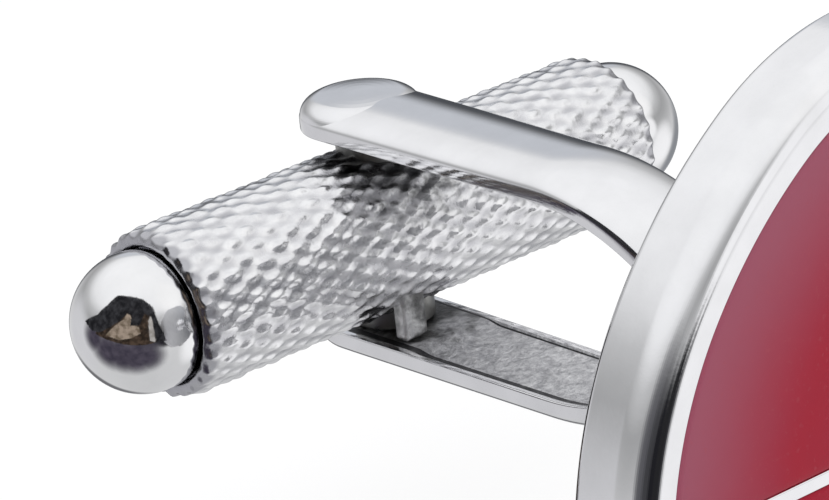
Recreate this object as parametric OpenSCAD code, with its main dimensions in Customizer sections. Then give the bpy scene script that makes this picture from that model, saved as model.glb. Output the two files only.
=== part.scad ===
// Swivel-bar cufflink: a rounded enamelled head, a forked post and a knurled toggle on a pin.
// The face looks along -Y with the origin at its centre. The post runs along +Y and the pin along Z.

/* [Head] */
// Width of the head across the pin
head_w = 21.7; // [19:0.1:25]
// Distance of the long arcs' centres beyond the middle, which makes the head a little wider than high
long_arc_z = 1.29; // [0.9:0.03:1.8]
// Distance from a long arc's centre to a corner arc's, which flattens the head's top and bottom
corner_shift = 4.5; // [3.5:0.1:5.5]
// Thickness of the head, from its back to its face
head_t = 1.76; // [1.5:0.02:2.6]
// Radius of the rounded shoulder between the wall and the face
shoulder_r = 0.66; // [0.4:0.02:0.8]
// Radius of the edge between the wall and the back
back_edge_r = 0.18; // [0.06:0.02:0.3]
// Width of the flat ring round the enamel
ring_w = 0.38; // [0.2:0.02:0.8]
// Depth of the pockets that hold the enamel
enamel_t = 0.6; // [0.3:0.05:0.9]
// Width of the raised lines that divide the enamel
line_w = 0.3; // [0.2:0.02:0.6]
// Height of the middle enamel field
band_h = 1.2; // [1:0.1:5]

/* [Fork] */
// Distance from the head's back to the pivot axis
pivot_reach = 17.64; // [16.5:0.02:20]
// Width of an arm at the pivot
arm_w = 2.84; // [2.4:0.02:3.2]
// Width of an arm where it bends inwards
arm_root_w = 2.64; // [2.4:0.02:3]
// Height of the straight edges of an arm's section
arm_edge = 0.27; // [0.2:0.01:0.5]
// Height of the crown above those edges
arm_crown = 0.46; // [0.36:0.02:0.7]
// Reach of an arm's tip beyond the pivot axis
arm_tip = 1.87; // [1.64:0.01:2.2]
// Diameter of the round pad on the upper arm's tip
pad_d = 2.7; // [2.2:0.02:3]
// Height of that pad above the crown of the arm
pad_proud = 0.04; // [0.02:0.01:0.12]
// Radius of the pad's edge
pad_edge_r = 0.26; // [0.1:0.02:0.28]
// Radius of the inward bend, on the arm's inner face
bend_r = 6.48; // [5.6:0.02:7.4]
// Radius of the throat where the two arms meet
throat_r = 0.92; // [0.6:0.02:1.2]
// Depth of the rough recess in the arms' inner faces
recess_t = 0.08; // [0.04:0.01:0.12]
// Width of the polished lip beside that recess
lip_w = 0.16; // [0.12:0.01:0.3]
// Diameter of the stem between the throat and the foot
stem_d = 2.5; // [2:0.1:2.7]
// Diameter of the foot that is soldered to the head
foot_d = 5.2; // [4:0.1:7]
// Height of the foot's rim above the head's back
foot_t = 0.35; // [0.2:0.05:0.6]
// Depth of the seat in the head's back that the foot stands in
foot_seat_t = 0.15; // [0.05:0.05:0.4]

/* [Pin] */
// Diameter of the pin
pin_d = 1.2; // [1:0.05:1.4]
// Depth of the four flats milled on the pin for the click spring
flat_t = 0.08; // [0.04:0.02:0.12]

/* [Toggle] */
// Length of the sleeve between its rims
sleeve_len = 13.83; // [12:0.01:15]
// Diameter of the sleeve over the knurl's points
sleeve_d = 4.02; // [3.6:0.02:4.4]
// Thickness of the sleeve's wall under the knurl
sleeve_wall = 0.53; // [0.4:0.01:0.65]
// Depth of the knurl's grooves
knurl_t = 0.11; // [0.06:0.01:0.16]
// Number of knurl points round the sleeve
knurl_around = 28; // [20:2:32]
// Number of knurl points along the sleeve
knurl_rows = 14; // [10:1:16]
// Length of the plain bevel at each end of the sleeve
bevel_len = 0.31; // [0.2:0.01:0.5]
// Fall of that bevel, on the radius
bevel_t = 0.2; // [0.1:0.01:0.24]
// Thickness of the thin rim round each ball
rim_w = 0.06; // [0.05:0.01:0.1]
// Depth of the sleeve's mouth, down to the seat of the ball
mouth_t = 0.36; // [0.25:0.01:0.5]
// Distance of each ball's centre beyond the rim
ball_out = 0.29; // [0.15:0.01:0.5]
// Length of the ball's spigot inside the sleeve
spigot_len = 1.85; // [1:0.05:2.2]
// Length of the solid core inside the sleeve
core_len = 5.2; // [4.6:0.1:6]
// Outer diameter of the bushes round the pin
bush_d = 1.9; // [1.7:0.02:2]
// Width of the lug under the sleeve, along the sleeve
lug_w = 0.69; // [0.4:0.01:0.8]
// Thickness of the lug across the sleeve
lug_t = 0.39; // [0.25:0.01:0.5]
// Distance from the pivot axis to the lug's nearer side, along the sleeve
lug_in = 0.3; // [0.1:0.02:0.5]

/* [Click spring] */
// Length of the leaf, straightened
leaf_len = 3.5; // [3:0.1:3.8]
// Width of the leaf
leaf_w = 1.2; // [0.8:0.05:1.3]
// Thickness of the leaf
leaf_t = 0.12; // [0.08:0.01:0.16]
// Radius to which the leaf is bowed
leaf_r = 3.7; // [3.4:0.1:5]

/* [Fits] */
// Gap on the radius where the bushes turn on the pin
pin_fit = 0.03; // [0.02:0.005:0.06]
// Gap on the radius between pieces that are pressed or cemented together
press_fit = 0.01; // [0.005:0.005:0.02]
// Gap between the knurl's points and each arm
arm_clear = 0.33; // [0.2:0.01:0.4]
// Gap between each bush, or the lug, and its arm
bush_clear = 0.04; // [0.02:0.01:0.08]

/* [Hidden] */

$fn = 96;
polished = "gainsboro";
cast_metal = "silver";
spring_steel = "slategray";
enamel_red = "crimson";
// Overrun of every cutting shape past the surface that it cuts
cut = 0.5;

// Head: two end arcs, four long arcs, four corner arcs and two flats. The steps between the centres of
// neighbouring arcs have these shares, so that the arcs touch at seams whose angles are exact
seam_shares = [4, 3, 5];
corner_shares = [336, 527, 625];
seam_unit = long_arc_z / seam_shares[1];
end_arc_x = seam_unit * seam_shares[0];
end_arc_r = head_w / 2 - end_arc_x;
long_arc_r = end_arc_r + seam_unit * seam_shares[2];
seam_angle = atan2(seam_shares[1], seam_shares[0]);
corner_unit = corner_shift / corner_shares[2];
corner_x = corner_unit * corner_shares[0];
corner_z = corner_unit * corner_shares[1] - long_arc_z;
corner_r = long_arc_r - corner_shift;
corner_angle = atan2(corner_shares[1], corner_shares[0]);
head_h = 2 * (corner_z + corner_r);
// Each arc of the rim is turned from both its ends, and the two turns lap in between
lap_share = 0.6;
field_inset = shoulder_r + ring_w;
// The rim is turned round the arcs, and laps over the plate inside it
rim_share = 1.45;
plate_share = 1.15;
rim_in = rim_share * field_inset;
plate_in = plate_share * field_inset;
line_z = band_h / 2 + line_w;

// Arms
pivot_y = head_t + pivot_reach;
arm_z = sleeve_d / 2 + arm_clear;
arm_t = arm_edge + arm_crown;
ball_x = sleeve_len / 2 + ball_out;
// The arms start to bend just before the place of the folded ball's centre
bend_lead = 0.76;
bend_d = ball_x - bend_lead;
// The bend ends at the angle from which the throat's arc reaches the middle plane
bend_angle = acos((bend_r - arm_z) / (bend_r - throat_r));
throat_d = bend_d + bend_r * sin(bend_angle) + throat_r * (1 - sin(bend_angle));
// The recess starts clear of the lug's path round the pivot
recess_lead = 0.1;
recess_ramp = 0.4;
recess_slope_share = 0.25;
// Share of the arm's thickness that the stem runs into at the throat
stem_sink_share = 0.7;
stem_len = pivot_reach - throat_d - arm_t * (1 - stem_sink_share);

// Steps of the arm's surface round the tip, the crown, the bend and the throat
tip_steps = 7;
crown_steps = 14;
bend_steps = 9;
throat_steps = 5;
// Width that is left at the flat end of the tip, as a share of the arm's width
tip_end_share = 0.1;

// Pin
pin_r = pin_d / 2;
pad_top = arm_z + arm_t + pad_proud;
// The pin's lower end is flush with the crown at the hole's edge
pin_bottom = arm_z + arm_edge + arm_crown * sqrt(1 - pow(pin_d / arm_w, 2));

// Sleeve
crest_r = sleeve_d / 2;
groove_r = crest_r - knurl_t;
rim_r = groove_r - bevel_t;
mouth_r = rim_r - rim_w;
bore_r = groove_r - sleeve_wall;
knurl_len = sleeve_len - 2 * bevel_len;
// Gap between the ball and the rim round it
ball_gap = rim_w / 2;
ball_r = mouth_r - ball_gap;

// Bushes, spring and lug
bush_r = bush_d / 2;
bush_top = arm_z - bush_clear;
leaf_side_gap = rim_w;
bush_foot = leaf_w / 2 + 2 * leaf_side_gap;
leaf_y = pin_r + pin_fit;
lug_out_share = 0.8;
lug_y = groove_r * lug_out_share;
lug_top = (sqrt(pow(groove_r, 2) - pow(lug_y, 2)) + sqrt(pow(bore_r, 2) - pow(lug_y - lug_t, 2))) / 2;

// Places its children with their Z axis along the post, from the face or from the head's back
module along_post(y = 0) {
    translate([0, y, 0])
        rotate([-90, 0, 0])
            children();
}

// Places its children with their origin at the pivot
module at_pivot() {
    translate([0, pivot_y, 0])
        children();
}

// Places its children with their Z axis along the sleeve, the end towards +X first
module along_sleeve(far = true) {
    at_pivot()
        rotate([0, far ? 90 : -90, 0])
            children();
}

// Closes a row of rings into one solid. The ends are fans of triangles from the ring's point number hub
module skin(rings, hub) {
    count = len(rings[0]);
    last = (len(rings) - 1) * count;
    points = [for (ring = rings) each ring];
    sides = [
        for (a = [0 : count : last - count], k = [0 : count - 1])
            let (b = a + k, c = a + (k + 1) % count)
                each [[b, c + count, c], [b, b + count, c + count]]
    ];
    rim = [for (k = [0 : count - 1]) if (k != hub && (k + 1) % count != hub) k];
    first_end = [for (k = rim) [hub, k, (k + 1) % count]];
    last_end = [for (k = rim) [last + hub, last + (k + 1) % count, last + k]];
    polyhedron(points, concat(first_end, last_end, sides), convexity = 6);
}

// Head

// Profile of the head's rim on an arc of that radius, from its front to its back
module rim_profile(radius) {
    inner_r = radius - rim_in;
    translate([inner_r, shoulder_r])
        square([radius - inner_r, head_t - shoulder_r - back_edge_r]);
    translate([inner_r, 0])
        square([radius - shoulder_r - inner_r, shoulder_r]);
    translate([radius - shoulder_r, shoulder_r])
        circle(shoulder_r);
    translate([inner_r, head_t - back_edge_r])
        square([radius - back_edge_r - inner_r, back_edge_r]);
    translate([radius - back_edge_r, head_t - back_edge_r])
        circle(back_edge_r);
}

// An arc of the rim round a centre, turned from both its ends so that both lie at exact angles
module rim_arc(centre, radius, from, to) {
    translate(centre) {
        rotate(from)
            rotate_extrude(angle = lap_share * (to - from))
                rim_profile(radius);
        rotate(to)
            mirror([0, 1, 0])
                rotate_extrude(angle = lap_share * (to - from))
                    rim_profile(radius);
    }
}

module rim() {
    for (turn = [0, 180])
        rotate(turn) {
            rim_arc([end_arc_x, 0, 0], end_arc_r, -seam_angle, seam_angle);
            for (flip = [0, 1])
                mirror([flip, 0, 0]) {
                    rim_arc([0, -long_arc_z, 0], long_arc_r, seam_angle, corner_angle);
                    rim_arc([corner_x, corner_z, 0], corner_r, corner_angle, 90);
                }
            translate([-corner_x, 0, 0])
                rotate([90, 0, 90])
                    linear_extrude(2 * corner_x)
                        rim_profile(head_h / 2);
        }
}

// The head's outline, drawn smaller by inset all round: the long arcs, cut off by the end arcs at the
// sides and by the corner arcs and the flats at the top and bottom
module outline(inset) {
    intersection() {
        translate([0, -long_arc_z])
            circle(long_arc_r - inset);
        translate([0, long_arc_z])
            circle(long_arc_r - inset);
        union() {
            for (side = [-1, 1])
                translate([side * end_arc_x, 0])
                    circle(end_arc_r - inset);
            square([2 * (end_arc_x + (end_arc_r - inset) * cos(seam_angle)), 2 * head_h], center = true);
        }
        union() {
            for (side = [-1, 1], level = [-1, 1])
                translate([side * corner_x, level * corner_z])
                    circle(corner_r - inset);
            square([2 * head_w, 2 * (corner_z + (corner_r - inset) * sin(corner_angle))], center = true);
            square([2 * corner_x, head_h - 2 * inset], center = true);
        }
    }
}

// An enamel field, or its pocket: the outline between two heights, from y = from to the enamel's depth
module field(low, high, inset, from = 0) {
    translate([0, enamel_t, 0])
        rotate([90, 0, 0])
            linear_extrude(enamel_t - from)
                intersection() {
                    outline(inset);
                    translate([-head_w / 2, low])
                        square([head_w, high - low]);
                }
}

module head_cup() {
    color(polished)
        difference() {
            along_post() {
                rim();
                linear_extrude(head_t)
                    outline(plate_in);
            }
            field(line_z, head_h / 2, field_inset, -cut);
            field(-head_h / 2, -line_z, field_inset, -cut);
            field(-band_h / 2, band_h / 2, field_inset, -cut);
            along_post(head_t - foot_seat_t)
                cylinder(h = foot_seat_t + cut, r = foot_d / 2 + press_fit);
        }
}

module upper_enamel() {
    color(enamel_red)
        field(line_z + press_fit, head_h / 2, field_inset + press_fit);
}

module lower_enamel() {
    color(enamel_red)
        field(-head_h / 2, -line_z - press_fit, field_inset + press_fit);
}

module middle_enamel() {
    color(enamel_red)
        field(press_fit - band_h / 2, band_h / 2 - press_fit, field_inset + press_fit);
}

// Fork

function clamp(value) = min(1, max(0, value));

// Half width of an arm at the distance d from the pivot towards the head
function arm_half(d) = (arm_w + (arm_root_w - arm_w) * clamp(d / bend_d)) / 2;

// Depth of the recess at the distance d from the pivot
recess_d = norm([lug_y, lug_in + lug_w]) + recess_lead;
function recess_at(d) = recess_t * clamp((d - recess_d) / recess_ramp);

// Section of an arm as [across, outwards] points: a flat inner side with its recess, and a crowned back
function arm_section(half, crown, recess) =
    let (
        lip = lip_w * half / (arm_root_w / 2),
        floor_half = half - lip * (1 + recess_slope_share)
    )
    concat(
        [[-half, 0], [lip - half, 0], [-floor_half, recess], [floor_half, recess], [half - lip, 0], [half, 0]],
        [for (i = [0 : crown_steps]) let (a = 180 * i / crown_steps) [half * cos(a), arm_edge + crown * sin(a)]]
    );

// A station of the arms: distance from the pivot, height, turn of the section, half width, crown and recess
function tip_stations() = [
    for (i = [0 : tip_steps - 1])
        let (share = sin(90 * i / tip_steps) * (1 - tip_end_share) + tip_end_share, half = arm_half(0) * share)
            [arm_half(0) * (1 - sqrt(1 - pow(share, 2))) - arm_tip, arm_z, 0, half, arm_crown * share, 0]
];
function straight_stations() = [
    for (d = [arm_half(0) - arm_tip, recess_d, recess_d + recess_ramp, (recess_d + bend_d) / 2])
        [d, arm_z, 0, arm_half(d), arm_crown, recess_at(d)]
];
function bend_stations() = [
    for (i = [0 : bend_steps])
        let (a = bend_angle * i / bend_steps)
            [bend_d + bend_r * sin(a), arm_z - bend_r * (1 - cos(a)), a, arm_root_w / 2, arm_crown, recess_t]
];
function throat_stations() = [
    for (i = [1 : throat_steps])
        let (a = bend_angle + (90 - bend_angle) * i / throat_steps)
            [throat_d - throat_r * (1 - sin(a)), throat_r * cos(a), a, arm_root_w / 2, arm_crown, recess_t]
];

function arm_ring(s) = [
    for (p = arm_section(s[3], s[4], s[5]))
        [p.x, pivot_y - s[0] - p.y * sin(s[2]), s[1] + p.y * cos(s[2])]
];

// Both arms in one strip, from the upper tip round the throat to the lower tip
module arms() {
    upper = [for (s = concat(tip_stations(), straight_stations(), bend_stations(), throat_stations())) s];
    last = len(upper) - 1;
    lower = [for (i = [last - 1 : -1 : 0]) let (s = upper[i]) [s[0], -s[1], 180 - s[2], s[3], s[4], s[5]]];
    crown_top = len(arm_ring(upper[0])) - 1 - crown_steps / 2;
    skin([for (s = concat(upper, lower)) arm_ring(s)], crown_top);
}

module stem_profile() {
    flare_r = (foot_d - stem_d) / 2;
    translate([0, -foot_seat_t])
        square([foot_d / 2, foot_seat_t + foot_t]);
    square([stem_d / 2, stem_len]);
    difference() {
        translate([0, foot_t])
            square([foot_d / 2, flare_r]);
        translate([foot_d / 2, foot_t + flare_r])
            circle(flare_r);
    }
}

// The pad's outline from the middle of the arm's straight edge up to its flat top
module pad_profile() {
    pad_foot = arm_z + arm_edge / 2;
    pad_r = pad_d / 2;
    translate([0, pad_foot])
        square([pad_r, pad_top - pad_edge_r - pad_foot]);
    translate([0, pad_foot])
        square([pad_r - pad_edge_r, pad_top - pad_foot]);
    translate([pad_r - pad_edge_r, pad_top - pad_edge_r])
        circle(pad_edge_r);
}

module fork() {
    color(cast_metal)
        difference() {
            union() {
                arms();
                translate([0, pivot_y + arm_tip - arm_w / 2, 0])
                    rotate_extrude()
                        pad_profile();
                along_post(head_t)
                    rotate_extrude()
                        stem_profile();
            }
            at_pivot()
                cylinder(h = 2 * (pad_top + cut), r = pin_r + press_fit, center = true);
        }
}

// Pin

module pivot_pin() {
    color(polished)
        at_pivot()
            difference() {
                translate([0, 0, -pin_bottom])
                    cylinder(h = pin_bottom + pad_top, r = pin_r);
                for (turn = [0 : 90 : 270])
                    rotate(turn)
                        translate([-pin_r, pin_r - flat_t, -leaf_w / 2 - leaf_side_gap])
                            cube([pin_d, cut, leaf_w + 2 * leaf_side_gap]);
            }
}

// Toggle

// Radius of the knurl at column i and row j of its grid: points alternate with the crossings of the grooves
function knurl_radius(i, j) =
    j == 0 || j == 2 * knurl_rows || (i + j) % 2 == 0 ? groove_r : crest_r;

// The knurled bar, along Z: one pyramid for each point, between two families of slanting grooves
module knurled_bar() {
    columns = 2 * knurl_around;
    rows = 2 * knurl_rows;
    knurl_rings = [
        for (j = [0 : rows])
            [for (i = [0 : columns - 1])
                let (a = 360 * i / columns, r = knurl_radius(i, j))
                    [r * cos(a), r * sin(a), knurl_len * (j / rows - 1 / 2)]]
    ];
    rims = [
        for (side = [-1, 1])
            [for (i = [0 : columns - 1])
                let (a = 360 * i / columns)
                    [rim_r * cos(a), rim_r * sin(a), side * sleeve_len / 2]]
    ];
    rings = concat([rims[0]], knurl_rings, [rims[1]]);
    last = len(rings) - 1;
    // Each cell is split along the groove that crosses it
    cells = [
        for (j = [0 : last - 1], i = [0 : columns - 1])
            let (
                a = j * columns + i,
                b = j * columns + (i + 1) % columns,
                c = b + columns,
                d = a + columns
            )
            each (i + j) % 2 == 1 ? [[a, c, b], [a, d, c]] : [[a, d, b], [b, d, c]]
    ];
    first_end = [for (i = [0 : columns - 1]) i];
    last_end = [for (i = [columns - 1 : -1 : 0]) last * columns + i];
    points = [for (ring = rings) each ring];
    polyhedron(points, concat([first_end, last_end], cells), convexity = 6);
}

module toggle_sleeve() {
    color(cast_metal) {
        difference() {
            along_sleeve()
                knurled_bar();
            along_sleeve()
                cylinder(h = sleeve_len + 2 * cut, r = bore_r, center = true);
            for (far = [true, false])
                along_sleeve(far)
                    translate([0, 0, sleeve_len / 2 - mouth_t])
                        cylinder(h = mouth_t + cut, r = mouth_r);
            at_pivot()
                cylinder(h = sleeve_d + 2 * cut, r = bush_r + press_fit, center = true);
        }
        at_pivot()
            translate([-lug_in - lug_w, -lug_y, -bush_top])
                cube([lug_w, lug_t, bush_top - lug_top]);
    }
}

module end_cap(far) {
    seat = sleeve_len / 2 - mouth_t;
    color(polished)
        along_sleeve(far) {
            intersection() {
                translate([0, 0, ball_x])
                    sphere(ball_r);
                translate([0, 0, seat])
                    cylinder(h = mouth_t + ball_out + 2 * ball_r, r = sleeve_d);
            }
            // The spigot runs into the ball as far as its middle
            translate([0, 0, seat - spigot_len])
                cylinder(h = spigot_len + mouth_t + ball_out, r = bore_r - press_fit);
        }
}

module near_end_cap() {
    end_cap(false);
}

module far_end_cap() {
    end_cap(true);
}

module toggle_core() {
    color(cast_metal)
        difference() {
            along_sleeve()
                cylinder(h = core_len, r = bore_r - press_fit, center = true);
            at_pivot() {
                cylinder(h = sleeve_d, r = bush_r + press_fit, center = true);
                translate([-leaf_len / 2 - leaf_side_gap, leaf_y - pin_fit, -leaf_w / 2 - leaf_side_gap])
                    cube([leaf_len + 2 * leaf_side_gap, sleeve_d, leaf_w + 2 * leaf_side_gap]);
            }
        }
}

// A bush above the pin's flats, for the upper arm
module bush() {
    at_pivot()
        translate([0, 0, bush_foot])
            difference() {
                cylinder(h = bush_top - bush_foot, r = bush_r);
                translate([0, 0, -cut])
                    cylinder(h = bush_top - bush_foot + 2 * cut, r = pin_r + pin_fit);
            }
}

module upper_bush() {
    color(cast_metal)
        bush();
}

module lower_bush() {
    color(cast_metal)
        mirror([0, 0, 1])
            bush();
}

// A bowed leaf, its middle just clear of the pin's corners and its ends against the sleeve's bore
module click_spring() {
    half_angle = leaf_len / leaf_r * 90 / PI;
    color(spring_steel)
        at_pivot()
            translate([0, leaf_y + leaf_r, 0])
                rotate(-90 - half_angle)
                    rotate_extrude(angle = 2 * half_angle)
                        translate([leaf_r - leaf_t, -leaf_w / 2])
                            square([leaf_t, leaf_w]);
}

head_cup();
upper_enamel();
middle_enamel();
lower_enamel();
fork();
pivot_pin();
toggle_sleeve();
near_end_cap();
far_end_cap();
toggle_core();
upper_bush();
lower_bush();
click_spring();
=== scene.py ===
import math
import random

import bmesh
import bpy
from mathutils import Matrix, Vector

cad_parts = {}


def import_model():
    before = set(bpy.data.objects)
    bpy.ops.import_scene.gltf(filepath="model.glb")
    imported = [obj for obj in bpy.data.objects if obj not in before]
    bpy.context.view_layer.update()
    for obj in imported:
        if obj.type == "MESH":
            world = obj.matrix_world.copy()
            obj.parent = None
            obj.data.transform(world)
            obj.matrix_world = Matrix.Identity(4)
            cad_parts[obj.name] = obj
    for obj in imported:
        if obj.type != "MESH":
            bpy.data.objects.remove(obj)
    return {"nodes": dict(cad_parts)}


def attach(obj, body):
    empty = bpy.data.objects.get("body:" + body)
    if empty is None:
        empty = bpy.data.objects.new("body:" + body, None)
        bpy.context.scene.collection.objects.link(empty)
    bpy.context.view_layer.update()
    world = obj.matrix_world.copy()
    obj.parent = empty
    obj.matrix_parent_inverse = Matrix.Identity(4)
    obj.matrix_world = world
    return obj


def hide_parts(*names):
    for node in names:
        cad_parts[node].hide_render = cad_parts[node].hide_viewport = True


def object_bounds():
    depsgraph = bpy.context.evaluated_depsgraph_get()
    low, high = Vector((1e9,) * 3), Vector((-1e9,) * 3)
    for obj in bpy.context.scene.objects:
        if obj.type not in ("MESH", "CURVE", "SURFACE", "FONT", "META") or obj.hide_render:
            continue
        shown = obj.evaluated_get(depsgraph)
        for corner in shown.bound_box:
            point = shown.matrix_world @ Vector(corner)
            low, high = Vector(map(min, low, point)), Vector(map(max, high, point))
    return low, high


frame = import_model()
cad_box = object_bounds()

MM = 0.001
scene = bpy.context.scene
scene.view_settings.view_transform = "Standard"

# Sizes in millimetres. The main ones are the CAD's, and the fine trims, such as soft edges and the pad's
# dome, are the scene's own. The face looks to -Y, the pin stands along Z and the toggle lies along X

# Head: the end arcs, long arcs and corner arcs of its outline, then its depth and its face
END_X, END_R = 1.72, 9.13
LONG_Z, LONG_R = 1.29, 11.28
CORNER_X, CORNER_Z, CORNER_R = 2.4192, 2.5044, 6.78
HEAD_T, SHOULDER_R, BACK_R, RING_W = 1.76, 0.66, 0.18, 0.38
FIELD_INSET = SHOULDER_R + RING_W
BAND_H, LINE_W = 1.2, 0.3
RING_EDGE, RING_DEPTH = 0.035, 0.25

# Toggle: the sleeve and its knurl, the balls, the bushes and the lug
PIVOT_Y, PIN_R = 19.4, 0.6
SLEEVE_LEN, BEVEL_LEN, MOUTH_T = 13.83, 0.31, 0.36
CREST_R, GROOVE_R = 2.01, 1.9
KNURL_AROUND, KNURL_ROWS = 28, 14
KNURL_END, KNURL_FALL = 0.12, 0.4
BALL_OUT, BALL_R = 0.29, 1.61
BALL_X = SLEEVE_LEN / 2 + BALL_OUT
BUSH_R, BUSH_BORE_R, BUSH_IN, BUSH_OUT = 0.95, 0.64, 0.72, 2.3
LUG_W, LUG_T, LUG_IN, LUG_OUT, LUG_TOP = 0.69, 0.39, 0.3, 1.52, 1.1

# Fork: the arms with their bend, throat and recess, the pad on the upper tip, the stem and its foot
ARM_Z, ARM_EDGE, ARM_CROWN = 2.34, 0.27, 0.46
ARM_HALF, ROOT_HALF, ARM_TIP = 1.42, 1.32, 1.87
BEND_R, THROAT_R, BEND_D = 6.48, 0.92, BALL_X - 0.76
RECESS_T, LIP_W, RECESS_D, RECESS_RUN = 0.08, 0.16, 1.93, 0.4
PAD_R, PAD_TOP, PAD_EDGE, PAD_DOME = 1.4, 3.11, 0.5, 0.05
STEM_R, FOOT_R, FOOT_T, FOOT_EDGE = 1.25, 2.6, 0.35, 0.04

# Radius of the small closing face at the axis of a turned piece
AXIS_R = 0.02

# The middle of the near ball, and what the faces of an arm are finished with: plate, rough cast, and a
# near-black strip of painted shade and reflection in the recess's corners
NEAR_BALL = Vector((-BALL_X, PIVOT_Y, 0))
PLATE, ROUGH, RECESS_SHADE = 0, 1, 2


# Camera

def add_camera():
    """The photograph's camera, fitted to the toggle and the head."""
    right = Vector((0.7405, -0.6652, -0.0955))
    up = Vector((0.3074, 0.2090, 0.9283))
    back = Vector((-0.5976, -0.7168, 0.3593))
    aside, above, away = 0.6763, -0.6422, 114.55
    place = Vector((0, PIVOT_Y, 0)) + aside * right + above * up + away * back
    turn = Matrix((right, up, back)).transposed().to_4x4()
    camera = bpy.data.objects.new("camera", bpy.data.cameras.new("camera"))
    scene.collection.objects.link(camera)
    camera.matrix_world = Matrix.Translation(place * MM) @ turn
    camera.data.sensor_width = 36
    camera.data.lens = 217.1
    camera.data.clip_start = 0.005
    camera.data.clip_end = 20
    scene.camera = camera


# Shader helpers

def new_material(name, metallic=0.0):
    material = bpy.data.materials.new(name)
    material.use_nodes = True
    tree = material.node_tree
    shader = tree.nodes["Principled BSDF"]
    shader.inputs["Metallic"].default_value = metallic
    return material, tree, shader


def node(tree, kind, inputs=None, **settings):
    made = tree.nodes.new(kind)
    for key, value in settings.items():
        setattr(made, key, value)
    for key, value in (inputs or {}).items():
        if isinstance(value, bpy.types.NodeSocket):
            tree.links.new(value, made.inputs[key])
        else:
            made.inputs[key].default_value = value
    return made


def object_place(tree):
    return node(tree, "ShaderNodeTexCoord").outputs["Object"]


def noise(tree, scale, detail=3.0, rough=0.55, vector=None):
    if vector is None:
        vector = object_place(tree)
    return node(tree, "ShaderNodeTexNoise",
                {"Vector": vector, "Scale": scale, "Detail": detail, "Roughness": rough}).outputs["Fac"]


def remap(tree, value, low, high, to_low, to_high, smooth=False):
    made = node(tree, "ShaderNodeMapRange",
                {"Value": value, "From Min": low, "From Max": high, "To Min": to_low, "To Max": to_high})
    if smooth:
        made.interpolation_type = "SMOOTHSTEP"
    return made.outputs["Result"]


def mix(tree, factor, a, b):
    """From colour a to colour b. A colour is a socket or (red, green, blue)."""
    a, b = (c if isinstance(c, bpy.types.NodeSocket) else tuple(c) + (1,) for c in (a, b))
    return node(tree, "ShaderNodeMix", {0: factor, 6: a, 7: b}, data_type="RGBA").outputs[2]


def maths(tree, operation, a, b=0.0):
    return node(tree, "ShaderNodeMath", {0: a, 1: b}, operation=operation).outputs[0]


def vectors(tree, operation, a, b=(0, 0, 0)):
    made = node(tree, "ShaderNodeVectorMath", {0: a, 1: b}, operation=operation)
    return made.outputs["Value" if operation in ("DOT_PRODUCT", "LENGTH") else "Vector"]


def uneven(tree, value, cloud, amount):
    """Moves a value up and down with a noise, by that amount in all."""
    return maths(tree, "ADD", value, maths(tree, "MULTIPLY", maths(tree, "SUBTRACT", cloud, 0.5), amount))


def bump(tree, height, distance, strength=1.0, normal=None):
    """A normal from a height that is distance millimetres deep, on top of another normal."""
    inputs = {"Height": height, "Distance": distance * MM, "Strength": strength}
    if normal is not None:
        inputs["Normal"] = normal
    return node(tree, "ShaderNodeBump", inputs).outputs["Normal"]


def dress(tree, shader, colour, roughness, normal):
    """Feeds what every finish here varies over its surface."""
    for socket, value in (("Base Color", colour), ("Roughness", roughness), ("Normal", normal)):
        tree.links.new(value, shader.inputs[socket])


def glow(tree, colour, strength=1.0):
    return node(tree, "ShaderNodeEmission", {"Color": colour, "Strength": strength}).outputs[0]


def sky(tree, colour, strength=1.0):
    return node(tree, "ShaderNodeBackground", {"Color": colour, "Strength": strength}).outputs[0]


def mix_shaders(tree, factor, a, b):
    return node(tree, "ShaderNodeMixShader", {0: factor, 1: a, 2: b}).outputs[0]


def show(tree, shader):
    tree.links.new(shader, tree.nodes["Material Output"].inputs["Surface"])


# Materials

def polished_plate(name, tint=(0.93, 0.93, 0.945), low=0.03, high=0.09):
    """Bright plate: a soft waviness from polishing, fine hairlines, and roughness uneven from low to high."""
    material, tree, shader = new_material(name, 1.0)
    cloud = noise(tree, 900, 4)
    colour = mix(tree, remap(tree, cloud, 0.35, 0.7, 0, 1), tint, [0.93 * c for c in tint])
    wave = bump(tree, noise(tree, 420, 1), 0.012, 0.35)
    hairlines = bump(tree, noise(tree, 9000, 2), 0.0012, 0.5, wave)
    dress(tree, shader, colour, remap(tree, cloud, 0.3, 0.7, low, high), hairlines)
    return material


def satin_plate():
    """The head's back, brushed one way and dulled by wear against the cuff."""
    material, tree, shader = new_material("satin_plate", 1.0)
    drawn = vectors(tree, "MULTIPLY", object_place(tree), (30, 1, 1))
    lines = noise(tree, 420, 4, 0.6, drawn)
    cloud = noise(tree, 350, 4)
    colour = mix(tree, remap(tree, lines, 0.35, 0.68, 0, 1), (0.9, 0.9, 0.91), (0.72, 0.72, 0.74))
    dress(tree, shader, colour, remap(tree, cloud, 0.3, 0.7, 0.3, 0.42), bump(tree, lines, 0.005, 0.6))
    return material


def from_pin(tree, cloud):
    """Distance from the pin's axis, made uneven, for the painted shade round the pin."""
    offset = vectors(tree, "SUBTRACT", object_place(tree), (0, PIVOT_Y * MM, 0))
    away = vectors(tree, "LENGTH", vectors(tree, "MULTIPLY", offset, (1, 1, 0)))
    return uneven(tree, away, cloud, 4 * MM)


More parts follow.
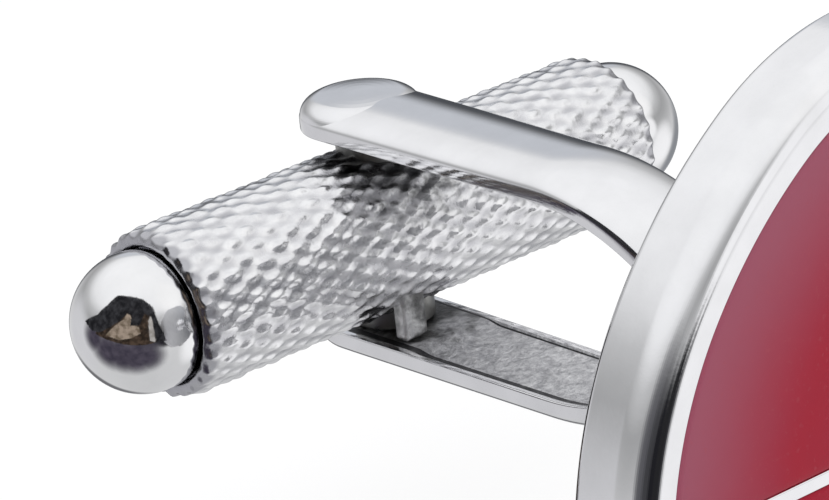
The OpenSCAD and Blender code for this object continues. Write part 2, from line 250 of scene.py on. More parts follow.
def cast_plate(name="rough_cast_plate", low=(0.5, 0.5, 0.52), high=(0.95, 0.95, 0.96)):
    """Plate over the rough skin of a casting, from low in its pits to high, with painted shade near the pin.
    """
    material, tree, shader = new_material(name, 1.0)
    grains = noise(tree, 5200, 5, 0.65)
    blotches = noise(tree, 1500, 3)
    plate = mix(tree, remap(tree, grains, 0.36, 0.66, 0, 1), low, high)
    # Painted shade: the cast faces go near-black round the pin, where the arm and the bushes shadow them
    painted_pin_shade = remap(tree, from_pin(tree, blotches), 1.0 * MM, 2.3 * MM, 0.85, 0, True)
    height = maths(tree, "ADD", grains, maths(tree, "MULTIPLY", blotches, 1.4))
    dress(tree, shader, mix(tree, painted_pin_shade, plate, (0.05, 0.05, 0.048)),
          remap(tree, blotches, 0.3, 0.7, 0.3, 0.5), bump(tree, height, 0.06, 0.9))
    return material


def knurled_plate():
    """The diamond knurl: bright facets, with painted shade in the grooves, each facet a little uneven.
    Painted shade darkens the crevices beside the balls and the bar's upper side where it nears the pin."""
    material, tree, shader = new_material("knurled_plate", 1.0)
    place = object_place(tree)
    height = node(tree, "ShaderNodeSeparateXYZ", {0: place}).outputs["Z"]
    offset = vectors(tree, "SUBTRACT", place, (0, PIVOT_Y * MM, 0))
    radius = vectors(tree, "LENGTH", vectors(tree, "MULTIPLY", offset, (0, 1, 1)))
    cloud = noise(tree, 2600, 4)
    facets = mix(tree, remap(tree, cloud, 0.35, 0.68, 0, 1), (0.95, 0.95, 0.96), (0.8, 0.8, 0.82))
    # Painted shade in the grooves
    groove = remap(tree, radius, (GROOVE_R - 0.005) * MM, (GROOVE_R + 0.045) * MM, 1, 0, True)
    colour = mix(tree, groove, facets, (0.5, 0.5, 0.53))
    # Painted shade on the upper side near the pin, lighter on the crests
    painted_pin_shade = remap(tree, from_pin(tree, cloud), 1.2 * MM, 2.3 * MM, 1, 0, True)
    painted_pin_shade = maths(tree, "MULTIPLY", painted_pin_shade, remap(tree, height, 0.0, 1.3 * MM, 0, 1, True))
    painted_pin_shade = maths(tree, "MULTIPLY", painted_pin_shade, remap(tree, radius, GROOVE_R * MM, CREST_R * MM, 1, 0.3))
    colour = mix(tree, painted_pin_shade, colour, (0.025, 0.025, 0.028))
    # The painted crevice shade fades out at the top and the bottom of the bar
    # Painted shade in the crevices beside the balls
    ragged = uneven(tree, radius, cloud, 0.35 * MM)
    level = remap(tree, maths(tree, "ABSOLUTE", height), 1.1 * MM, 1.5 * MM, 1, 0.12, True)
    crevice = maths(tree, "MULTIPLY", remap(tree, ragged, 1.62 * MM, 1.7 * MM, 1, 0, True), level)
    colour = mix(tree, crevice, colour, (0.03, 0.03, 0.033))
    wave = bump(tree, noise(tree, 2300, 3), 0.03, 0.8)
    dress(tree, shader, colour, remap(tree, cloud, 0.3, 0.7, 0.14, 0.3),
          bump(tree, noise(tree, 14000, 3), 0.003, 0.5, wave))
    return material


def crimson_enamel():
    """Glossy crimson enamel under a clear coat, paler towards the metal round it: a painted reflection."""
    material, tree, shader = new_material("crimson_enamel")
    cloud = noise(tree, 260, 4)
    # How far out a point lies, as a share of the head's reach that way
    reach = vectors(tree, "LENGTH", vectors(tree, "MULTIPLY", object_place(tree), (92, 0, 108)))
    # Painted reflection: the enamel turns paler towards the metal round it
    edge = remap(tree, uneven(tree, reach, cloud, 0.1), 0.58, 0.96, 0, 1, True)
    deep = mix(tree, remap(tree, cloud, 0.3, 0.7, 0, 1), (0.34, 0.005, 0.021), (0.3, 0.006, 0.028))
    colour = mix(tree, edge, deep, (0.31, 0.08, 0.122))
    specks = remap(tree, noise(tree, 7000, 2), 0.6, 0.75, 0, 0.3)
    dress(tree, shader, mix(tree, specks, colour, (0.36, 0.06, 0.08)),
          remap(tree, cloud, 0.3, 0.7, 0.2, 0.3), bump(tree, noise(tree, 330, 2), 0.01, 0.3))
    shader.inputs["Specular IOR Level"].default_value = 0.08
    shader.inputs["Coat Weight"].default_value = 0.28
    shader.inputs["Coat Roughness"].default_value = 0.05
    return material


def plain_metal(name, colour, low, high):
    """Turned or rolled metal that is mostly out of sight."""
    material, tree, shader = new_material(name, 1.0)
    streaks = noise(tree, 3000, 3)
    dress(tree, shader, mix(tree, remap(tree, streaks, 0.35, 0.7, 0, 1), colour, [0.8 * c for c in colour]),
          remap(tree, streaks, 0.3, 0.7, low, high), bump(tree, streaks, 0.004, 0.5))
    return material


# Mesh helpers. Every point is given in millimetres in the frame of the part

def edit_mesh(piece, change):
    """Runs change on the piece's mesh as a bmesh."""
    work = bmesh.new()
    work.from_mesh(piece.data)
    change(work)
    work.to_mesh(piece.data)
    work.free()


def face_outwards(work):
    bmesh.ops.recalc_face_normals(work, faces=work.faces)


def merge_doubles(work):
    """Merges doubled points and takes out the faces that have no area."""
    same = 1e-7
    bmesh.ops.remove_doubles(work, verts=work.verts, dist=same)
    bmesh.ops.dissolve_degenerate(work, edges=work.edges, dist=same)
    face_outwards(work)


def new_object(name, points, faces, materials):
    mesh = bpy.data.meshes.new(name)
    mesh.from_pydata([(x * MM, y * MM, z * MM) for x, y, z in points], [], faces)
    for material in materials:
        mesh.materials.append(material)
    made = bpy.data.objects.new(name, mesh)
    scene.collection.objects.link(made)
    return made


def add_piece(name, points, faces, materials, body, replaces=(), face_slots=None):
    """A closed, smooth piece of the object, riding on a body. face_slots picks a material for each face."""
    piece = new_object(name, points, faces, materials)
    for face, index in zip(piece.data.polygons, face_slots or []):
        face.material_index = index
    for face in piece.data.polygons:
        face.use_smooth = True
    piece.data.validate()
    piece.data.update()
    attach(piece, body)
    if replaces:
        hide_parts(*replaces)
    edit_mesh(piece, face_outwards)
    return piece


def join_rings(rows, count, close=True):
    """Quads between rows of count points. A closed row joins its last point to its first."""
    faces = []
    for row in range(rows - 1):
        for k in range(count if close else count - 1):
            a, b = row * count + k, row * count + (k + 1) % count
            faces.append((a, b, b + count, a + count))
    return faces


def capped_rings(rows, count):
    """Quads between closed rows, and then a face over the first row and one over the last."""
    last = (rows - 1) * count
    return join_rings(rows, count) + [tuple(range(count))[::-1], tuple(range(last, last + count))]


def supported(profile, gap=0.006):
    """Adds a point close to each end of the long stretches, so that flats stay flat under smooth shading."""
    made = [profile[0]]
    for a, b in zip(profile, profile[1:]):
        length = math.dist(a, b)
        if length > 4 * gap:
            share = gap / length
            made.append(tuple(p + (q - p) * share for p, q in zip(a, b)))
            made.append(tuple(q + (p - q) * share for p, q in zip(a, b)))
        made.append(b)
    return made


def arc(centre, radius, start, end, steps):
    """Points on an arc, from one angle in degrees to another."""
    return [(centre[0] + radius * math.cos(math.radians(start + (end - start) * i / steps)),
             centre[1] + radius * math.sin(math.radians(start + (end - start) * i / steps)))
            for i in range(steps + 1)]


def revolve(name, profile, place, material, body, replaces=(), steps=128, join=capped_rings):
    """Turns (radius, height) points about an axis. place maps (a, b, height) to the frame of the part. A
    profile that closes on itself needs no caps, so its rings are joined by join_rings."""
    profile = supported(profile)
    turns = [2 * math.pi * k / steps for k in range(steps)]
    points = [place(radius * math.cos(a), radius * math.sin(a), height)
              for radius, height in profile for a in turns]
    add_piece(name, points, join(len(profile), steps), [material], body, replaces)


# Head

def oval(inset, steps=720):
    """The head's outline as (x, z) points, drawn smaller by inset all round, anticlockwise from +X."""
    seam = math.degrees(math.atan2(LONG_Z, END_X))
    corner = math.degrees(math.atan2(CORNER_Z + LONG_Z, CORNER_X))
    quarter = []
    for centre, radius, start, end in (((END_X, 0), END_R, 0, seam), ((0, -LONG_Z), LONG_R, seam, corner),
                                       ((CORNER_X, CORNER_Z), CORNER_R, corner, 90)):
        quarter += arc(centre, radius - inset, start, end, round(steps * (end - start) / 360))[:-1]
    top = CORNER_Z + CORNER_R - inset
    quarter += [(CORNER_X, top), (CORNER_X / 3, top)]
    half = quarter + [(-x, z) for x, z in quarter[:0:-1]]
    return half + [(-x, -z) for x, z in half]


def head(plate, back):
    """The cup, from the flat of its back round its wall and shoulder to the ring, and its raised lines."""
    back_inset, flat_rows = 5.5, 3
    profile = [(back_inset, HEAD_T)]
    profile += [(BACK_R - x, HEAD_T - BACK_R + y) for x, y in arc((0, 0), BACK_R, 90, 0, 6)]
    profile += [(SHOULDER_R - x, SHOULDER_R - y) for x, y in arc((0, 0), SHOULDER_R, 0, 90, 28)]
    profile += [(FIELD_INSET - RING_EDGE + x, RING_EDGE - y) for x, y in arc((0, 0), RING_EDGE, 90, 0, 5)]
    profile += [(FIELD_INSET, RING_DEPTH)]
    rings = [[(x, y, z) for x, z in oval(inset)] for inset, y in supported(profile)]
    count = len(rings[0])
    faces = capped_rings(len(rings), count)
    on_back = [1] * (flat_rows * count)
    add_piece("head_shell", [p for ring in rings for p in ring], faces, [plate, back], "post",
              ["head_cup"], on_back + [0] * (len(faces) - len(on_back) - 2) + [1, 0])
    for name, side in (("upper_line", 1), ("lower_line", -1)):
        line(name, side * (BAND_H + LINE_W) / 2, plate)


def line(name, z, plate):
    """A raised line across the face, with softened edges, down below the top of the enamel."""
    half, inwards = LINE_W / 2, 0.03
    # Both ends go a little into the ring's metal
    reach = END_X + END_R - FIELD_INSET - 0.01
    section = [(-half, RING_DEPTH)]
    section += [(RING_EDGE - half - x, RING_EDGE - y) for x, y in arc((0, 0), RING_EDGE, 0, 90, 4)]
    section += [(half - RING_EDGE + x, RING_EDGE - y) for x, y in arc((0, 0), RING_EDGE, 90, 0, 4)]
    section = supported(section + [(half, RING_DEPTH)])
    stops = (-reach, inwards - reach, reach - inwards, reach)
    points = [(x, y, z + across) for x in stops for across, y in section]
    add_piece(name, points, capped_rings(len(stops), len(section)), [plate], "post")


def field_loop(low, high, inset, steps=1440):
    """The outline of a field between two heights, inset all round, as (x, z) points of a fixed count."""
    low, high = low + inset, high - inset
    outline = oval(FIELD_INSET + inset, steps)
    sides = list(zip(outline, outline[1:] + outline[:1]))
    # Points above or below the field are drawn in to the corners of its straight edges
    widest = {edge: max((xa + (xb - xa) * (edge - za) / (zb - za) for (xa, za), (xb, zb) in sides
                         if (za - edge) * (zb - edge) < 0), default=0) for edge in (low, high)}
    level = [(x, min(high, max(low, z))) for x, z in outline]
    return [(min(widest[z], max(-widest[z], x)) if z in widest else x, z) for x, z in level]


def enamel(name, low, high, material, replaces):
    """Enamel with a fine meniscus: it stands a little lower along the metal and rises to a flat."""
    rise = [(0.004, 0.2), (0.006, 0.045), (0.03, 0.032), (0.08, 0.02), (0.16, 0.011), (0.3, 0.006),
            (0.5, 0.004)]
    rings = [[(x, y, z) for x, z in field_loop(low, high, inset)] for inset, y in rise]
    made = add_piece(name, [p for ring in rings for p in ring], capped_rings(len(rings), len(rings[0])),
                     [material], "post", [replaces])
    edit_mesh(made, merge_doubles)


# Fork

def arm_half(d):
    return ARM_HALF + (ROOT_HALF - ARM_HALF) * min(1, max(0, d / BEND_D))


def arm_section(half, crown, recess):
    """(across, outwards, finish) points round an arm's section, from one lip over the recess to the crown.
    The near-black strip of painted shade and reflection is broad in the recess's corner on the near side and
    narrow on the far one."""
    edge = min(0.05, half / 3)
    lip = LIP_W * half / ROOT_HALF
    floor = half - 1.25 * lip
    near, far = min(0.2, floor / 2), min(0.06, floor / 2)
    brink, fall = 0.012, 0.3 * recess
    steps, crown_steps = 12, 44
    left = [(-half + edge - x, edge - y, PLATE) for x, y in arc((0, 0), edge, 0, 90, 4)]
    made = left + [(-half + lip, fall, PLATE), (-half + lip + brink, fall + 0.01 * recess, ROUGH),
                   (-floor, recess * 0.9, RECESS_SHADE), (near - floor, recess, RECESS_SHADE)]
    made += [(near - floor + (2 * floor - near - far) * i / steps, recess, ROUGH) for i in range(1, steps)]
    made += [(floor - far, recess, RECESS_SHADE), (floor, recess * 0.9, RECESS_SHADE),
             (half - lip - brink, fall + 0.01 * recess, ROUGH), (half - lip, fall, PLATE)]
    made += [(-x, y, PLATE) for x, y, _ in left[::-1]]
    turns = [math.pi * i / crown_steps for i in range(crown_steps + 1)]
    return made + [(half * math.cos(a), ARM_EDGE + crown * math.sin(a), PLATE) for a in turns]


def arm_stations():
    """[distance from the pivot, height, turn, half width, crown, recess] from the tip to the throat's middle,
    and the throat's distance from the pivot."""
    tip_steps, straight_steps, bend_steps, throat_steps = 26, 40, 28, 16
    made = []
    for i in range(tip_steps):
        share = max(0.02, math.sin(math.pi / 2 * i / tip_steps))
        made.append((ARM_HALF * (1 - math.sqrt(1 - share * share)) - ARM_TIP, ARM_Z, 0, ARM_HALF * share,
                     ARM_CROWN * share ** 0.8, 0))
    start = ARM_HALF - ARM_TIP
    for i in range(straight_steps + 1):
        d = start + (BEND_D - start) * i / straight_steps
        recess = RECESS_T * min(1, max(0, (d - RECESS_D) / RECESS_RUN))
        made.append((d, ARM_Z, 0, arm_half(d), ARM_CROWN, recess))
    bend_angle = math.acos((BEND_R - ARM_Z) / (BEND_R - THROAT_R))
    for i in range(1, bend_steps + 1):
        a = bend_angle * i / bend_steps
        made.append((BEND_D + BEND_R * math.sin(a), ARM_Z - BEND_R * (1 - math.cos(a)), a, ROOT_HALF,
                     ARM_CROWN, RECESS_T))
    throat_d = BEND_D + BEND_R * math.sin(bend_angle) + THROAT_R * (1 - math.sin(bend_angle))
    for i in range(1, throat_steps + 1):
        a = bend_angle + (math.pi / 2 - bend_angle) * i / throat_steps
        made.append((throat_d - THROAT_R * (1 - math.sin(a)), THROAT_R * math.cos(a), a, ROOT_HALF,
                     ARM_CROWN, RECESS_T))
    return made, throat_d


def fork(plate, rough, recess_shade):
    """Both arms in one sweep, from the upper tip round the throat to the lower tip, the pad and the stem."""
    upper, throat_d = arm_stations()
    lower = [(d, -z, math.pi - turn, *rest) for d, z, turn, *rest in upper[-2::-1]]
    points = []
    for d, z, turn, *sizes in upper + lower:
        for across, out, _ in arm_section(*sizes):
            points.append((across, PIVOT_Y - d - out * math.sin(turn), z + out * math.cos(turn)))
    finishes = [finish for _, _, finish in arm_section(ROOT_HALF, ARM_CROWN, RECESS_T)]
    row = [RECESS_SHADE if a == b == RECESS_SHADE else ROUGH if a or b else PLATE
           for a, b in zip(finishes, finishes[1:] + finishes[:1])]
    rows = len(upper + lower)
    add_piece("fork_arms", points, capped_rings(rows, len(row)), [plate, rough, recess_shade], "post",
              ["fork"], row * (rows - 1) + [PLATE, PLATE])
    tip_pad(plate)
    stem(plate, throat_d)


def tip_pad(plate):
    """The round pad on the upper arm's tip: slightly domed, with a broadly rounded edge."""
    pad_y = PIVOT_Y + ARM_TIP - ARM_HALF
    edge_top, flat_r, squash = PAD_TOP - PAD_DOME, 0.95, 0.8
    profile = [(PAD_R - 0.01, ARM_Z + 0.04), (PAD_R, ARM_Z + 0.2)]
    profile += [(PAD_R - PAD_EDGE + x, edge_top + squash * (z - PAD_EDGE))
                for x, z in arc((0, 0), PAD_EDGE, 0, 80, 16)]
    profile += [(r, PAD_TOP - PAD_DOME * (r / flat_r) ** 2 - 0.002) for r in (0.8, 0.6, 0.4, 0.2, 0.05)]
    revolve("tip_pad", profile, lambda a, b, h: (a, pad_y + b, h), plate, "post", ["fork"])


def stem(plate, throat_d):
    """The stem with its flare and its foot, both ends a little inside what they join."""
    flare, into = FOOT_R - STEM_R, 0.1
    seat = HEAD_T + FOOT_T
    end = PIVOT_Y - throat_d - 0.3 * (ARM_EDGE + ARM_CROWN) + into
    profile = [(AXIS_R, HEAD_T - into), (FOOT_R, HEAD_T - into)]
    profile += [(FOOT_R - FOOT_EDGE + x, seat - FOOT_EDGE + y) for x, y in arc((0, 0), FOOT_EDGE, 0, 90, 3)]
    profile += [(FOOT_R - x, seat + flare - y) for x, y in arc((0, 0), flare, 88, 0, 16)]
    profile += [(STEM_R, end), (AXIS_R, end)]
    revolve("stem", profile, lambda a, b, h: (a, h, b), plate, "post", ["fork"])


def pin(plate):
    """The pin, filed flush with a fine chamfer below and polished over by the pad above."""
    low = -(ARM_Z + ARM_EDGE + ARM_CROWN * math.sqrt(1 - (PIN_R / ARM_HALF) ** 2))
    high = PAD_TOP - 0.1
    profile = [(AXIS_R, low), (PIN_R - 0.04, low), (PIN_R, low + 0.03), (PIN_R, high), (AXIS_R, high)]
    revolve("pin", profile, lambda a, b, h: (a, PIVOT_Y + b, h), plate, "post", ["pivot_pin"],
            steps=96)


# Toggle

def knurl_diamonds(length):
    """The knurl's points and faces: blunt diamonds between two families of slanting grooves, each a little
    uneven. A point is named by its place along both families, in quarters of a diamond. The sum of the two
    places runs round the sleeve and their difference along it."""
    random.seed(11)
    columns, rows = 2 * KNURL_AROUND, 2 * KNURL_ROWS
    # Where the quarters of a diamond lie along its side, from one groove to the next
    shares = [0, 0.32, 0.5, 0.68, 1]
    # The fall from a diamond's middle to its facets, and how far its top leans
    slope, lean = 0.018, 0.03
    points, faces, known = [], [], {}

    def point(key, radius):
        """The number of the point of that name, which the first call makes at that radius."""
        p, q = (k // 4 + shares[k % 4] for k in key)
        turn = math.floor((p + q) / columns + 1e-9)
        key = tuple(k - 4 * turn * columns // 2 for k in key)
        if key not in known:
            a = 2 * math.pi * (p + q) / columns
            along = length * ((p - q) / rows - 0.5)
            radius -= KNURL_FALL * max(0, abs(along) - SLEEVE_LEN / 2 + BEVEL_LEN)
            known[key] = len(points)
            points.append((along, PIVOT_Y + radius * math.sin(a), radius * math.cos(a)))
        return known[key]

    for level in range(rows + 1):
        for column in range((level + 1) % 2, columns, 2):
            first = ((column + level - 1) // 2, (column - level - 1) // 2)
            lean_p, lean_q = random.gauss(0, lean), random.gauss(0, lean)
            height = CREST_R - random.uniform(0, 0.03)
            square = []
            for a in range(5):
                for b in range(5):
                    radius = height + lean_p * (shares[a] - 0.5) + lean_q * (shares[b] - 0.5)
                    radius -= slope * ((a != 2) + (b != 2))
                    if not (0 < a < 4 and 0 < b < 4):
                        radius = GROOVE_R + random.uniform(-0.01, 0.03)
                    along = first[0] + shares[a] - first[1] - shares[b]
                    beyond = along < -0.01 or along > rows + 0.01
                    key = (4 * first[0] + a, 4 * first[1] + b)
                    square.append(None if beyond else point(key, min(radius, CREST_R)))
            for a in range(4):
                for b in range(4):
                    k = 5 * a + b
                    face = tuple(square[n] for n in (k, k + 1, k + 6, k + 5) if square[n] is not None)
                    if len(face) > 2:
                        faces.append(face)
    return points, faces


def knurl_end(points, faces, side, length):
    """Takes the ends of the diamonds round into the crevice beside the ball, and closes the sleeve there with
    the last face."""
    groove_r = GROOVE_R - KNURL_FALL * (BEVEL_LEN - KNURL_END)
    end = [n for n, p in enumerate(points) if abs(p[0] - side * length / 2) < 1e-6]
    end.sort(key=lambda n: math.atan2(points[n][1] - PIVOT_Y, points[n][2]))
    loop = end
    # Distance in from the sleeve's end, radius over the grooves, and the share of the crests' height left
    for inwards, radius, share in ((0.09, 1.79, 0.95), (0.065, 1.74, 0.8), (0.055, 1.69, 0.6),
                                   (0.06, 1.655, 0.3), (0.085, 1.63, 0.1), (0.12, 1.61, 0), (0.2, 1.59, 0),
                                   (MOUTH_T, 1.57, 0), (MOUTH_T, 1.3, 0)):
        made = []
        for n in end:
            _, y, z = points[n]
            across = math.hypot(y - PIVOT_Y, z)
            scale = (radius + share * (across - groove_r)) / across
            made.append(len(points))
            points.append((side * (SLEEVE_LEN / 2 - inwards), PIVOT_Y + (y - PIVOT_Y) * scale, z * scale))
        faces += [(a, b, d, c) for a, b, c, d in zip(loop, loop[1:] + loop[:1], made, made[1:] + made[:1])]
        loop = made
    faces.append(tuple(loop))


def knurl(plate, inner):
    """The knurled sleeve, its diamonds softened by one step of subdivision."""
    length = SLEEVE_LEN - 2 * KNURL_END
    points, faces = knurl_diamonds(length)
    face_slots = []
    for side in (-1, 1):
        knurl_end(points, faces, side, length)
        face_slots += [0] * (len(faces) - len(face_slots) - 1) + [1]
    made = add_piece("knurled_sleeve", points, faces, [plate, inner], "toggle",
                     ["toggle_sleeve"], face_slots)
    softer = made.modifiers.new("softer", "SUBSURF")
    softer.levels = softer.render_levels = 1


def ball(name, side, plate, replaces):
    """An end cap: the ball, cut off where it enters the sleeve, and its spigot."""
    spigot_len, spigot_r, chamfer = 1.8, 1.34, 0.04
    seat = SLEEVE_LEN / 2 - MOUTH_T + 0.005
    start = math.degrees(math.asin((seat - BALL_X) / BALL_R))
    profile = [(AXIS_R, seat - spigot_len), (spigot_r - chamfer, seat - spigot_len),
               (spigot_r, seat - spigot_len + chamfer), (spigot_r, seat)]
    profile += [(r, BALL_X + h) for r, h in arc((0, 0), BALL_R, start, 89.3, 96)]
    revolve(name, profile, lambda a, b, h: (side * h, PIVOT_Y + a, b), plate, "toggle",
            [replaces], steps=192)


def lug(plate):
    """The square lug under the sleeve, beside the pivot: rounded edges, and level with the bushes' ends."""
    left, front = -LUG_IN - LUG_W, PIVOT_Y - LUG_OUT
    points = [(x, y, z) for x in (left, left + LUG_W) for y in (front, front + LUG_T)
              for z in (-BUSH_OUT, -LUG_TOP)]
    faces = [(0, 1, 3, 2), (4, 6, 7, 5), (0, 4, 5, 1), (2, 3, 7, 6), (0, 2, 6, 4), (1, 5, 7, 3)]
    made = add_piece("lug", points, faces, [plate], "toggle", ["toggle_sleeve"])
    rounded = made.modifiers.new("rounded", "BEVEL")
    rounded.width = 0.09 * MM
    rounded.segments = 5
    rounded.limit_method = "ANGLE"
    rounded.angle_limit = math.radians(25)
    rounded.harden_normals = True


def bush(name, side, metal, replaces):
    """A bush, from inside the core out to its clearance under the arm, with softened outer edges."""
    outer, inner = 0.03, 0.02
    profile = [(BUSH_BORE_R, BUSH_IN), (BUSH_R, BUSH_IN), (BUSH_R, BUSH_OUT - outer),
               (BUSH_R - outer, BUSH_OUT), (BUSH_BORE_R + inner, BUSH_OUT), (BUSH_BORE_R, BUSH_OUT - inner),
               (BUSH_BORE_R, BUSH_IN)]
    revolve(name, profile, lambda a, b, h: (a, PIVOT_Y + b, side * h), metal, "toggle",
            [replaces], steps=96, join=join_rings)


# Studio

def towards(azimuth, elevation):
    """The direction at that azimuth, from -Y towards +X, and that elevation."""
    a, e = math.radians(azimuth), math.radians(elevation)
    return (math.sin(a) * math.cos(e), -math.cos(a) * math.cos(e), math.sin(e))


def lobe(tree, direction, azimuth, elevation, inner, outer):
    """1 within the angle inner of a direction, falling smoothly to 0 at outer."""
    facing = vectors(tree, "DOT_PRODUCT", direction, towards(azimuth, elevation))
    return remap(tree, facing, math.cos(math.radians(outer)), math.cos(math.radians(inner)), 0, 1, True)


def mirrored_room(tree):
    """What gloss sees: a white room with a darker front, where the photographer stands, and soft dark and
    bright areas that the polished faces mirror."""
    direction = node(tree, "ShaderNodeTexCoord").outputs["Generated"]
    height = node(tree, "ShaderNodeSeparateXYZ", {0: direction}).outputs["Z"]
    ramp = node(tree, "ShaderNodeValToRGB", {"Fac": remap(tree, height, -1, 1, 0, 1)})
    # Brightness by height, from 0 straight down to 1 straight up
    for at, value in ((0.0, 0.6), (0.25, 0.66), (0.33, 0.68), (0.43, 0.6), (0.5, 0.48), (0.545, 0.42),
                      (0.595, 0.38), (0.655, 0.49), (0.68, 0.54), (0.727, 0.72), (0.772, 0.86),
                      (0.855, 0.94)):
        stop = ramp.color_ramp.elements.new(at)
        stop.color = (value * 0.985, value * 0.99, value, 1)
    ramp.color_ramp.elements[-1].color = (0.96, 0.965, 0.97, 1)
    ramp.color_ramp.elements.remove(ramp.color_ramp.elements[0])
    room = ramp.outputs["Color"]
    # Azimuth, elevation, inner and outer angle, colour
    for *area, colour in ((-38, -3, 6, 30, (0.1, 0.1, 0.11)), (26, 4, 11, 20, (0.93, 0.93, 0.94)),
                          (-20, -8, 6, 22, (0.05, 0.05, 0.055)), (-5, -12, 8, 16, (0.015, 0.015, 0.018)),
                          (10, -16, 8, 14, (0.02, 0.02, 0.022)), (24, -21, 7, 10, (0.03, 0.03, 0.034)),
                          (142, 18, 4, 16, (0.55, 0.57, 0.61)), (139, -9, 9, 26, (0.075, 0.08, 0.09)),
                          (160, -38, 6, 16, (0.16, 0.16, 0.17)), (108, -28, 5, 26, (0.26, 0.27, 0.29)),
                          (-155, -15, 12, 36, (0.62, 0.62, 0.64)), (54, -27, 12, 32, (0.93, 0.93, 0.94)),
                          (30, 40, 10, 30, (0.97, 0.97, 0.97))):
        room = mix(tree, lobe(tree, direction, *area), room, colour)
    return room


def world():
    """White to the camera, an even light on the object, and the mirrored room to its gloss."""
    made = bpy.data.worlds.new("studio")
    scene.world = made
    made.use_nodes = True
    tree = made.node_tree
    tree.nodes.clear()
    path = node(tree, "ShaderNodeLightPath").outputs
    light = mix_shaders(tree, path["Is Glossy Ray"], sky(tree, (0.8, 0.8, 0.82, 1), 0.9),
                        sky(tree, mirrored_room(tree)))
    clear = maths(tree, "MAXIMUM", path["Is Camera Ray"], path["Is Transmission Ray"])
    node(tree, "ShaderNodeOutputWorld", {"Surface": mix_shaders(tree, clear, light, sky(tree, (1, 1, 1, 1)))})


def stage_piece(name, points, faces, material, passed_by):
    """A piece of the studio, not of the object. The named kinds of ray pass through it."""
    made = new_object(name, points, faces, [material])
    for kind in passed_by:
        setattr(made, "visible_" + kind, False)
    return made


ALL_BUT_GLOSSY = ("camera", "diffuse", "transmission", "volume_scatter", "shadow")


def floor():
    """A pale floor that shows white to the camera and keeps the object's shadow."""
    material, tree, shader = new_material("pale_floor")
    shader.inputs["Roughness"].default_value = 0.9
    shader.inputs["Specular IOR Level"].default_value = 0.0
    tree.links.new(mix(tree, noise(tree, 12, 2), (0.93, 0.93, 0.93), (0.95, 0.95, 0.95)),
                   shader.inputs["Base Color"])
    path = node(tree, "ShaderNodeLightPath").outputs
    seen = maths(tree, "MULTIPLY", path["Is Camera Ray"], 0.72)
    show(tree, mix_shaders(tree, seen, shader.outputs[0], glow(tree, (1, 1, 1, 1), 1.06)))
    size, z = 1500, cad_box[0].z / MM
    stage_piece("floor", [(-size, -size, z), (size, -size, z), (size, size, z), (-size, size, z)],
                [(0, 1, 2, 3)], material, ["glossy"])


def haze():
    """The dim violet part of the near ball's surroundings, with soft edges, seen only as a reflection."""
    material, tree, _ = new_material("violet_haze")
    way = vectors(tree, "NORMALIZE", vectors(tree, "SUBTRACT", object_place(tree), NEAR_BALL * MM))
    mask = 0.0
    for area in ((-92, -22, 10, 36), (-74, -27, 12, 38), (-55, -31, 12, 38), (-36, -33, 6, 32),
                 (-113, -8, 4, 26)):
        mask = maths(tree, "MAXIMUM", mask, lobe(tree, way, *area))
    streaks = remap(tree, noise(tree, 500, 4), 0.35, 0.7, 0, 1)
    shade = mix(tree, streaks, (0.045, 0.04, 0.058), (0.085, 0.075, 0.1))
    show(tree, mix_shaders(tree, mask, node(tree, "ShaderNodeBsdfTransparent").outputs[0], glow(tree, shade)))
    distance = 12.6
    across, up = range(-160, 21, 15), range(-75, 31, 15)
    spots = [Vector(towards(azimuth, elevation)) * distance + NEAR_BALL
             for elevation in up for azimuth in across]
    stage_piece("violet_haze", spots, join_rings(len(up), len(across), close=False), material, ALL_BUT_GLOSSY)


def card(name, distance, colour, streak, outline):
    """A studio card close to the near ball, seen only as a reflection. The outline is given as (azimuth,
    elevation) directions from the ball's centre, and the card lies on a sphere round it."""
    material, tree, _ = new_material(name)
    show(tree, glow(tree, mix(tree, remap(tree, noise(tree, 700, 4), 0.4, 0.65, 0, 1), colour, streak)))
    spots = [Vector(towards(*way)) * distance + NEAR_BALL for way in outline]
    made = stage_piece(name, spots, [tuple(range(len(spots)))], material, ALL_BUT_GLOSSY)

    def curve(work):
        bmesh.ops.triangulate(work, faces=work.faces)
        bmesh.ops.subdivide_edges(work, edges=work.edges, cuts=5, use_grid_fill=True)
        centre = NEAR_BALL * MM
        for spot in work.verts:
            spot.co = centre + (spot.co - centre).normalized() * distance * MM
    edit_mesh(made, curve)


CARDS = (
    ("dark_card", 11.8, (0.012, 0.012, 0.014), (0.045, 0.045, 0.05),
     [(-134, 5), (-113, 21), (-102, 39), (-94, 55), (-57, 59), (-28, 53), (-14, 39), (-12, 14), (-5, -13),
      (-20, -14), (-21, 4), (-21, 26), (-31, 32), (-41, 16), (-55, 16), (-53, 30), (-61, 34), (-72, 22),
      (-87, 11), (-104, 1), (-118, 0)]),
    ("tan_card", 12, (0.36, 0.29, 0.23), (0.13, 0.1, 0.07),
     [(-93, 0), (-80, 14), (-66, 25), (-58, 38), (-50, 18), (-42, 13), (-41, 4), (-55, -2), (-72, -5)]),
    ("brown_card", 12.2, (0.022, 0.016, 0.012), (0.08, 0.055, 0.04),
     [(-112, -2), (-100, 10), (-80, 25), (-60, 40), (-30, 40), (-18, 20), (-16, -12), (-40, -14),
      (-60, -12), (-82, -8)]),
    ("pale_card", 12.05, (0.5, 0.48, 0.46), (0.3, 0.28, 0.26),
     [(-27, 21), (-20, 29), (-21, 10), (-21, -12), (-29, -8)]))


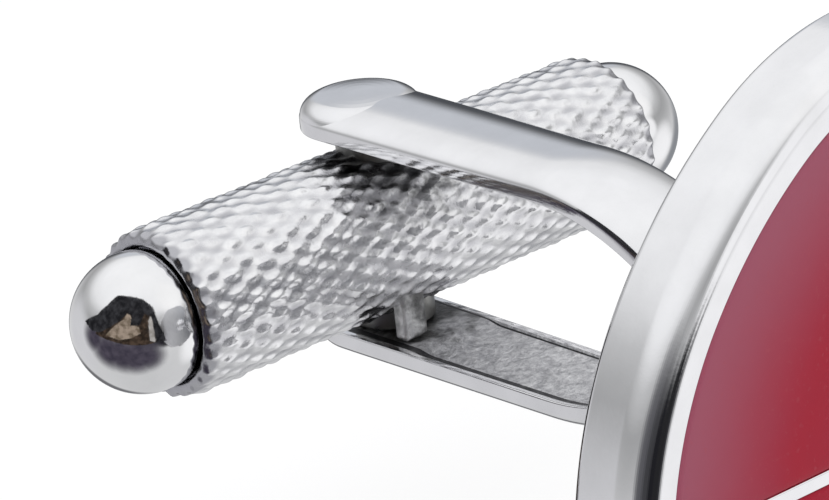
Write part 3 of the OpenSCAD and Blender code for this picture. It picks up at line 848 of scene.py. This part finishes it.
def lamp(name, azimuth, elevation, distance, size, power):
    """A soft square lamp that looks at the middle of the post and that gloss doesn't mirror."""
    aim = Vector((0, 8, 0))
    data = bpy.data.lights.new(name, "AREA")
    data.size = size * MM
    data.energy = power
    made = bpy.data.objects.new(name, data)
    scene.collection.objects.link(made)
    way = Vector(towards(azimuth, elevation))
    made.location = (aim + way * distance) * MM
    made.rotation_mode = "QUATERNION"
    made.rotation_quaternion = way.to_track_quat("Z", "Y")
    made.visible_glossy = False


# The part

add_camera()
bright = polished_plate("bright_plate")
arm_plate = polished_plate("arm_plate", (0.92, 0.92, 0.935), 0.04, 0.12)
ball_plate = polished_plate("ball_plate", (0.94, 0.94, 0.95), 0.04, 0.08)
rough = cast_plate()
knurled = knurled_plate()
red = crimson_enamel()
# Near-black metal for the strips in the arms' recess corners: painted shade and reflection
recess_shade = plain_metal("recess_shade", (0.05, 0.05, 0.055), 0.3, 0.5)
# A lighter copy of the cast plate for the lug: painted light
lit_lug_plate = cast_plate("lit_lug_plate", (0.8, 0.8, 0.81), (1, 1, 1))
# A darker copy of the plate for the bushes, which sit in shadow under the arms: painted shade
shaded_bush_metal = plain_metal("shaded_bush_plate", (0.3, 0.3, 0.29), 0.25, 0.45)

head(bright, satin_plate())
# Further out than the head reaches
beyond = 99
for place, low, high in (("upper", BAND_H / 2 + LINE_W, beyond), ("middle", -BAND_H / 2, BAND_H / 2),
                         ("lower", -beyond, -BAND_H / 2 - LINE_W)):
    enamel(place + "_field", low, high, red, place + "_enamel")
fork(arm_plate, rough, recess_shade)
pin(bright)
knurl(knurled, bright)
ball("near_ball", -1, ball_plate, "near_end_cap")
ball("far_ball", 1, ball_plate, "far_end_cap")
lug(lit_lug_plate)
bush("upper_bush_ring", 1, shaded_bush_metal, "upper_bush")
bush("lower_bush_ring", -1, shaded_bush_metal, "lower_bush")
for name, material in (("toggle_core", plain_metal("core_metal", (0.72, 0.6, 0.36), 0.25, 0.4)),
                       ("click_spring", plain_metal("spring_metal", (0.45, 0.46, 0.48), 0.2, 0.35))):
    cad = frame["nodes"][name]
    cad.data.materials.clear()
    cad.data.materials.append(material)

world()
floor()
haze()
for facts in CARDS:
    card(*facts)
lamp("key", -30, 60, 160, 120, 0.1)
lamp("fill", 100, 40, 180, 140, 0.05)
